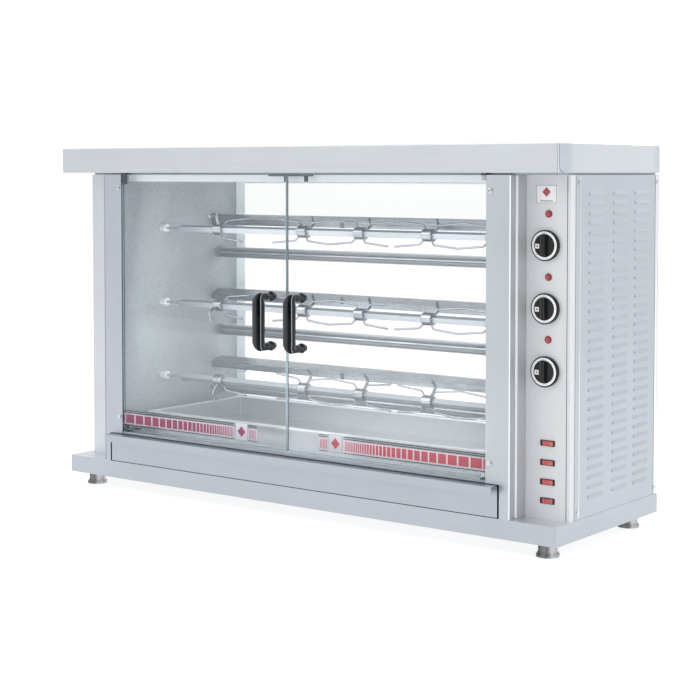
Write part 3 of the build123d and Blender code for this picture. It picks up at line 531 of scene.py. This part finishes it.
def glass_edges(name):
    """Ground edges of a door pane: pale all round, and deep green along the far face."""
    low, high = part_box(f"{name}_door_glass")
    piece = Piece(f"{name}_door_glass_edge")
    proud = 0.4 * MM
    split = low.y + (high.y - low.y) * 0.38
    for y0, y1, finish in ((low.y, split, EDGE_LIGHT), (split, high.y, EDGE_DARK)):
        piece.frame((low.x - proud, low.z - proud), (high.x + proud, high.z + proud),
                    proud, y0, y1, finish)
    return piece.done(f"{name}_door")


def strip_bars(length, first=25.0 * MM, shrink=0.9, gap=4.4 * MM):
    """Bars that shrink steadily from the hinge side: start and width of each, from the outer end."""
    start, width = 7.2 * MM, first
    while start + width < length:
        yield start, width
        start += width + gap * (0.45 + 0.55 * width / first)
        width = max(width * shrink, 1.5 * MM)


def diamond(x, z, half):
    """Outline of the plain mark that stands in for a printed one."""
    return [(x - half, z), (x, z - half), (x + half, z), (x, z + half)]


def door_strip(side, name, finish):
    """Printed strip along the foot of a pane: shrinking bars, thin lines and a plain diamond."""
    low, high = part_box(f"{name}_door_glass")
    y0, y1 = low.y - SKIN, low.y - 0.01 * MM
    outer = low.x if side < 0 else high.x
    inward = 1 if side < 0 else -1
    extra = 0.0 if side < 0 else 0.0085
    centre = outer + inward * (0.3435 + extra)
    piece = Piece(f"{name}_door_strip")

    def across(start, end):
        return sorted((outer + inward * start, outer + inward * end))

    def bar(start, end, z0, z1, skin, look):
        x0, x1 = across(start, end)
        piece.slab((x0, y0 - skin * SKIN, z0), (x1, y1, z1), look)

    long_end, mark_in, mark_out, tail = (reach + extra
                                         for reach in (0.3225, 0.3265, 0.3605, 0.3855))
    for start, end in ((0.0, long_end), (mark_out + 0.002, tail)):
        bar(start, end, BAR_LOW - 2 * MM, BAR_HIGH + 2 * MM, 0, PALE)
        for z in (STRIP_LOW, STRIP_HIGH - 5 * MM, STRIP_HIGH - LINE):
            bar(start, end, z, z + LINE, 0, INK)
    bar(0.0, 4.0 * MM, BAR_LOW, BAR_HIGH, 1, finish)
    for start, width in strip_bars(long_end):
        bar(start, start + width, BAR_LOW, BAR_HIGH, 1, finish)
    for k in range(5):
        start = mark_out + (4.5 + 3.8 * k) * MM
        bar(start, start + 1.6 * MM, BAR_LOW, BAR_HIGH, 1, finish)
    x0, x1 = across(mark_in, mark_out)
    foot, head = STRIP_LOW - 1 * MM, STRIP_HIGH + 3 * MM
    piece.slab((x0, y0, foot), (x1, y1, head), MARK_GROUND)
    piece.frame((x0, foot), (x1, head), 0.8 * MM, y0 - SKIN, y1, BADGE_EDGE)
    middle = (BAR_LOW + BAR_HIGH) / 2 + 3 * MM
    piece.plate(diamond(centre, middle, 11 * MM), y0 - SKIN, y0, finish)
    return piece.done(f"{name}_door")


for side, name, finish in ((-1, "left", ROSE), (1, "right", CORAL)):
    glass_edges(name)
    door_strip(side, name, finish)


# ---------------------------------------------------------------- control panel
def dial_ring(number):
    """White ring with graduations on the face of a dial collar."""
    knob_low, knob_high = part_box(f"heat_knob_{number}")
    centre = ((knob_low.x + knob_high.x) / 2, (knob_low.z + knob_high.z) / 2)
    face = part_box("dial_plates")[0].y
    inner, outer = 21.4 * MM, 26.0 * MM
    piece = Piece(f"dial_ring_{number}")
    piece.tube(centre, inner, outer, face - SKIN, face, WHITE_PRINT)
    for k in range(25):
        turn = math.radians(225 - 11.25 * k)
        length = 2.4 * MM if k % 4 == 0 else 1.2 * MM
        along = Vector((math.cos(turn), math.sin(turn)))
        aside = Vector((-along.y, along.x)) * 0.22 * MM
        middle = Vector(centre)
        ends = [middle + along * (inner + 0.5 * MM), middle + along * (inner + 0.5 * MM + length)]
        outline = [ends[0] - aside, ends[1] - aside, ends[1] + aside, ends[0] + aside]
        piece.plate(outline, face - 2 * SKIN, face - SKIN, INK)
    return piece.done("cabinet")


def knob_window(number):
    """White pointer window with a red dot, beside the grip of a knob."""
    low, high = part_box(f"heat_knob_{number}")
    x, z = (low.x + high.x) / 2 - 15 * MM, (low.z + high.z) / 2 - 1.5 * MM
    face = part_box("dial_plates")[0].y + 0.5 * MM
    half = 4.3 * MM
    piece = Piece(f"knob_window_{number}")
    piece.slab((x - half, face - 0.6 * MM, z - half), (x + half, face, z + half), WHITE_PRINT)
    dot = [(x + 1.6 * MM * math.cos(t * math.pi / 8), z + 1.6 * MM * math.sin(t * math.pi / 8))
           for t in range(16)]
    piece.plate(dot, face - 0.8 * MM, face - 0.6 * MM, ROSE)
    return piece.done(f"heat_knob_{number}")


def badge_mark():
    """Thin border, plain diamond and a plain bar on the white plate."""
    low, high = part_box("badge_plate")
    y = low.y
    piece = Piece("badge_mark")
    piece.frame((low.x + 0.4 * MM, low.z + 0.4 * MM), (high.x - 0.4 * MM, high.z - 0.4 * MM),
                0.9 * MM, y - SKIN, y, BADGE_EDGE)
    x, z = (low.x + high.x) / 2, (low.z + high.z) / 2 + 4 * MM
    piece.plate(diamond(x, z, 9 * MM), y - SKIN, y, CORAL)
    bar, foot = 13 * MM, low.z + 3.5 * MM
    piece.slab((x - bar, y - SKIN, foot), (x + bar, y, foot + 2 * MM), BADGE_EDGE)
    return piece.done("cabinet")


def lamp_rims():
    """Dark gasket round each pilot lamp."""
    low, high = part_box("pilot_lamps")
    x, face = (low.x + high.x) / 2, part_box("control_panel")[0].y
    step = (high.z - low.z - 14 * MM) / 2
    piece = Piece("lamp_rims")
    for k in range(3):
        centre = (x, low.z + 7 * MM + k * step)
        piece.tube(centre, 5.3 * MM, 6.3 * MM, face - 2.4 * MM, face, LAMP_RIM, steps=32)
    return piece.done("cabinet")


def side_seams():
    """Painted highlights on the turned edges and painted shadow lines in the joints, up the front
    and the back of the side panel.
    """
    low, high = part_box("louvred_side_panel")
    sheet, front = low.x + 1.5 * MM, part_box("control_panel")[0].y
    z0, z1 = low.z + 1 * MM, high.z - 1 * MM
    piece = Piece("side_seams")
    # painted shadow line beside the corner fold of the control panel
    piece.slab((sheet - 8.4 * MM, front - 0.12 * MM, z0), (sheet - 7.0 * MM, front, z1), JOINT_SHADOW)
    # painted highlight on the turned edges, painted shadow in the rear joint
    for y0, y1, finish in ((low.y + 14.0 * MM, low.y + 16.0 * MM, EDGE_HIGHLIGHT),
                           (high.y - 14.0 * MM, high.y - 13.0 * MM, JOINT_SHADOW),
                           (high.y - 13.0 * MM, high.y - 3.0 * MM, EDGE_HIGHLIGHT)):
        piece.slab((sheet - 0.5 * MM, y0, z0), (sheet + 0.25 * MM, y1, z1), finish)
    return piece.done("cabinet")


def canopy_seams():
    """Painted shadow line in the joint between the fascia and each end of the canopy, curved back at
    its foot.
    """
    low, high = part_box("canopy_shell")
    front, foot = low.y + 2.6 * MM, low.z + 1.6 * MM
    bend, wide, steps = 14 * MM, 1.1 * MM, 8
    line = [(front, high.z - 2 * MM, 0.0)]
    for k in range(steps + 1):
        turn = math.pi / 2 * k / steps
        line.append((front + bend * (1 - math.cos(turn)), foot + bend * (1 - math.sin(turn)), turn))
    for name, x, out in (("left", low.x, -1), ("right", high.x, 1)):
        sunk, proud = x - out * 0.3 * MM, x + out * 0.12 * MM
        rings = []
        for y, z, turn in line:
            dy, dz = wide / 2 * math.cos(turn), wide / 2 * math.sin(turn)
            rings.append([(sunk, y - dy, z - dz), (proud, y - dy, z - dz),
                          (proud, y + dy, z + dz), (sunk, y + dy, z + dz)])
        piece = Piece(f"canopy_seam_{name}")
        piece.loft(rings, JOINT_SHADOW)
        piece.done("cabinet")


def pan_rim():
    """Painted highlight along the top of the rolled rim of the drip pan."""
    low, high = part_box("drip_pan")
    piece = Piece("drip_pan_rim")
    inset, width, lift = 1 * MM, 10 * MM, 2.6 * MM
    near, far = (low.x + inset, low.y + inset), (high.x - inset, high.y - inset)
    rings = [[(*outer, high.z), (*inner, high.z), (*inner, high.z + lift), (*outer, high.z + lift)]
             for outer, inner in border(near, far, width)]
    piece.loft(rings, RIM, closed=False)
    return piece.done("drip_pan")


def jamb_linings():
    """Thin linings of the jambs, in the same matt sheet as the chamber walls."""
    for side, name in ((-1, "left"), (1, "right")):
        glass_low, glass_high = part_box(f"{name}_door_glass")
        low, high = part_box(f"{name}_door_post")
        face = high.x if side < 0 else low.x
        x0, x1 = sorted((face - side * 0.05 * MM, face - side * 0.6 * MM))
        piece = Piece(f"{name}_jamb_lining")
        piece.slab((x0, glass_high.y + 1.5 * MM, glass_low.z), (x1, high.y, high.z - 0.5 * MM), WALL)
        piece.done("cabinet")


def post_joints():
    """Groove fillers, painted shadow in the grooves, glowing steps as painted highlights, and lining
    sheets on the outer sides of the door posts, in duller copies of the post sheet as painted shade.

    The front layer ends 3.5 mm short of the widest one; depths count from the post's face.
    """
    for name, side in (("left", -1), ("right", 1)):
        low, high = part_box(f"{name}_door_post")
        wide = low.x if side < 0 else high.x
        outer = wide - side * 3.5 * MM
        z0, z1 = low.z + 1 * MM, high.z - 1 * MM
        piece = Piece(f"{name}_post_joint")

        def strip(start, end, y0, y1, look):
            x0, x1 = sorted((start, end))
            piece.slab((x0, low.y + y0 * MM, z0), (x1, low.y + y1 * MM, z1), look)

        # painted shade: darker copy of the post sheet on the side of the front layer
        strip(outer, outer + side * 0.3 * MM, 1.5, 15.6, RETURN)
        # painted shadow in the groove
        strip(outer - side * 1.2 * MM, outer - side * 4.9 * MM, 16.2, 18.4, JOINT_SHADOW)
        strip(outer - side * 0.8 * MM, outer - side * 4.9 * MM, 18.4, 20.7, FILLER)
        # painted highlight: glowing bright step
        strip(outer - side * 1.0 * MM, outer + side * 3.4 * MM, 20.7, 21.0, STEP)
        # front edge: painted highlight on the right post, painted shade on the left
        strip(outer - side * 2.0 * MM, outer + side * 0.3 * MM, -0.12, 0.4,
              STEP if side > 0 else SHADE)
        # painted shade on the side of the rear layer
        strip(wide, wide + side * 0.15 * MM, 21.4, 49.4, REAR_RETURN)
        piece.done("cabinet")


def cover_clips():
    """Dark spring clips that grip the sloping element covers, near their middle."""
    low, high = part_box("element_roof_covers")
    height, reach = 24 * MM, 0.6 * MM
    x0, x1 = -75 * MM, -66 * MM
    step = (high.z - low.z - height) / 2
    piece = Piece("element_cover_clips")
    for k in range(3):
        foot = low.z + k * step
        start = (x0, low.y - reach, foot - reach)
        piece.slab(start, (x1, low.y, foot + height * 0.6), CLIP)
        piece.slab(start, (x1, high.y, foot), CLIP)
    return piece.done("cabinet")


def bridge_handle(name):
    """Handle bent from one bar that thickens into the grip, with its washers and bolt heads."""
    low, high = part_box(f"{name}_door_handle")
    washer, bolt = 10 * MM, 7 * MM
    x, top, foot = (low.x + high.x) / 2, high.z - washer, low.z + washer
    arm, grip, bend, steps = 8.5 * MM, 13 * MM, 11 * MM, 10
    grip_y, glass_y = low.y + grip, low.y + 53 * MM
    path = [(glass_y, top, 0.0, arm), (grip_y + bend + 6 * MM, top, 0.0, arm)]
    for k in range(steps + 1):
        turn = math.pi / 2 * k / steps
        path.append((grip_y + bend * (1 - math.sin(turn)), top - bend * (1 - math.cos(turn)), turn,
                     arm + (grip - arm) * k / steps))
    path += [(y, top + foot - z, math.pi - turn, radius) for y, z, turn, radius in reversed(path)]
    circle = [2 * math.pi * k / 40 for k in range(40)]
    piece = Piece(f"{name}_door_bridge_handle")
    piece.loft([[(x + radius * math.cos(a), y - radius * math.sin(a) * math.sin(turn),
                  z + radius * math.sin(a) * math.cos(turn)) for a in circle]
                for y, z, turn, radius in path], HANDLE)
    for z in (top, foot):
        for radius, y0, y1 in ((washer, glass_y - 3 * MM, glass_y),
                               (bolt, glass_y + 5 * MM, glass_y + 9 * MM)):
            piece.loft([[(x + radius * math.cos(a), y, z + radius * math.sin(a)) for a in circle]
                        for y in (y0, y1)], BLACK)
    handle = piece.done(f"{name}_door", smooth=True)
    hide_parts(f"{name}_door_handle")
    return handle


def lintel():
    """Pale face of the lip folded down from the ceiling, behind the doors, lit by a painted glow."""
    gap = 0.4 * MM
    x0, x1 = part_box("left_door_post")[1].x + gap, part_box("right_door_post")[0].x - gap
    z0, z1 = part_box("chamber_ceiling")[0].z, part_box("chamber_ceiling")[0].z + 1.5 * MM
    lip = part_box("left_door_post")[0].y + 25 * MM
    back = lip - 0.02 * MM
    piece = Piece("ceiling_lip_face")
    piece.slab((x0, lip - 0.3 * MM, z1), (x1, back, z0 + 16 * MM), LINTEL)
    piece.slab((x0, lip - 0.4 * MM, z0), (x1, back, z1), FILLER)
    return piece.done("cabinet")


def sill_seal():
    """Dark rubber strip on the sill, just above the drawer."""
    low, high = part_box("chamber_floor")
    piece = Piece("sill_seal")
    piece.slab((low.x, low.y - 0.4 * MM, low.z), (high.x, low.y, low.z + 4.6 * MM), SEAL)
    return piece.done("cabinet")


for number in (1, 2, 3):
    dial_ring(number)
    knob_window(number)
badge_mark()
lamp_rims()
side_seams()
cover_clips()
bridge_handle("left")
bridge_handle("right")
post_joints()
jamb_linings()
lintel()
sill_seal()
canopy_seams()
pan_rim()


# ---------------------------------------------------------------- floor, light, camera
def stage_floor():
    """Plain pale floor, well larger than the object."""
    size = 14.0
    finish = Finish("stage_floor", Roughness=0.9)
    finish.colour(finish.mixed(finish.noise(size=0.8), srgb(160, 160, 161), srgb(163, 163, 164)))
    finish.shader.inputs["Emission Color"].default_value = (1, 1, 1, 1)
    finish.shader.inputs["Emission Strength"].default_value = 0.8
    data = bpy.data.meshes.new("stage_floor")
    data.from_pydata([(-size, -size, 0), (size, -size, 0), (size, size, 0), (-size, size, 0)],
                     [], [(0, 1, 2, 3)])
    data.materials.append(finish.material)
    floor = bpy.data.objects.new("stage_floor", data)
    bpy.context.scene.collection.objects.link(floor)


def softbox(name, place, aim, size, power):
    data = bpy.data.lights.new(name, "AREA")
    data.shape = "RECTANGLE"
    data.size, data.size_y = size
    data.energy = power
    lamp = bpy.data.objects.new(name, data)
    lamp.location = place
    lamp.rotation_euler = (Vector(aim) - Vector(place)).to_track_quat("-Z", "Y").to_euler()
    bpy.context.scene.collection.objects.link(lamp)
    lamp.visible_camera = False


# Darker parts of the studio: direction, cosines of edge and core, and what is left of the light.
DARK_ZONES = (((0.66, -0.74, 0.05), 0.62, 0.82, 0.08), ((-0.98, 0.15, 0.0), 0.86, 0.95, 0.25))


def studio_world():
    """Pure white behind the object, and a softer grey gradient in what the metal reflects."""
    world = bpy.data.worlds.new("studio")
    world.use_nodes = True
    nodes, links = world.node_tree.nodes, world.node_tree.links
    background = nodes["Background"]
    seen = nodes.new("ShaderNodeBackground")
    seen.inputs["Color"].default_value = (1, 1, 1, 1)
    seen.inputs["Strength"].default_value = 1.05
    path = nodes.new("ShaderNodeLightPath")
    mixer = nodes.new("ShaderNodeMixShader")
    direction = nodes.new("ShaderNodeTexCoord")
    parts = nodes.new("ShaderNodeSeparateXYZ")
    ramp = nodes.new("ShaderNodeValToRGB")
    links.new(direction.outputs["Generated"], parts.inputs[0])
    links.new(parts.outputs["Z"], ramp.inputs[0])
    ramp.color_ramp.elements[0].color = (0.74, 0.75, 0.765, 1)
    ramp.color_ramp.elements[1].color = (1, 1, 1, 1)
    shade = ramp.outputs[0]
    for aim, edge, core, depth in DARK_ZONES:
        along = nodes.new("ShaderNodeVectorMath")
        along.operation = "DOT_PRODUCT"
        along.inputs[1].default_value = Vector(aim).normalized()
        links.new(direction.outputs["Generated"], along.inputs[0])
        span = nodes.new("ShaderNodeMapRange")
        span.interpolation_type = "SMOOTHSTEP"
        for socket, number in zip(span.inputs[1:5], (edge, core, 1.0, depth)):
            socket.default_value = number
        links.new(along.outputs["Value"], span.inputs[0])
        dim = nodes.new("ShaderNodeVectorMath")
        dim.operation = "SCALE"
        links.new(shade, dim.inputs[0])
        links.new(span.outputs[0], dim.inputs["Scale"])
        shade = dim.outputs[0]
    links.new(shade, background.inputs["Color"])
    background.inputs["Strength"].default_value = 1.0
    links.new(path.outputs["Is Camera Ray"], mixer.inputs[0])
    links.new(background.outputs[0], mixer.inputs[1])
    links.new(seen.outputs[0], mixer.inputs[2])
    links.new(mixer.outputs[0], nodes["World Output"].inputs["Surface"])
    bpy.context.scene.world = world


def studio_camera():
    data = bpy.data.cameras.new("camera")
    data.lens = 83.47
    data.sensor_width = 36.0
    data.shift_y = -0.1517
    camera = bpy.data.objects.new("camera", data)
    camera.location = (2.1002, -2.7072, 0.7037)
    camera.rotation_euler = (math.radians(87.5), 0, math.radians(37.248))
    bpy.context.scene.collection.objects.link(camera)
    bpy.context.scene.camera = camera


stage_floor()
softbox("strip", (3.2, -0.72, 0.4), (0, -0.2, 0.4), (0.3, 1.1), 6)
softbox("key", (-1.6, -2.6, 2.4), (0, 0, 0.4), (2.2, 1.6), 24)
softbox("fill", (3.2, -0.6, 1.6), (0.4, 0, 0.4), (1.8, 1.8), 18)
softbox("doorway", (0.02, -0.160, 0.43), (0.02, 0.2, 0.36), (0.88, 0.5), 1.3)
softbox("top", (0.2, 0.4, 3.0), (0, 0, 0.5), (2.5, 1.5), 14)
softbox("back", (0.0, 2.4, 1.3), (0, 0, 0.35), (2.4, 1.2), 30)
studio_world()
studio_camera()
bpy.context.scene.view_settings.view_transform = "Standard"
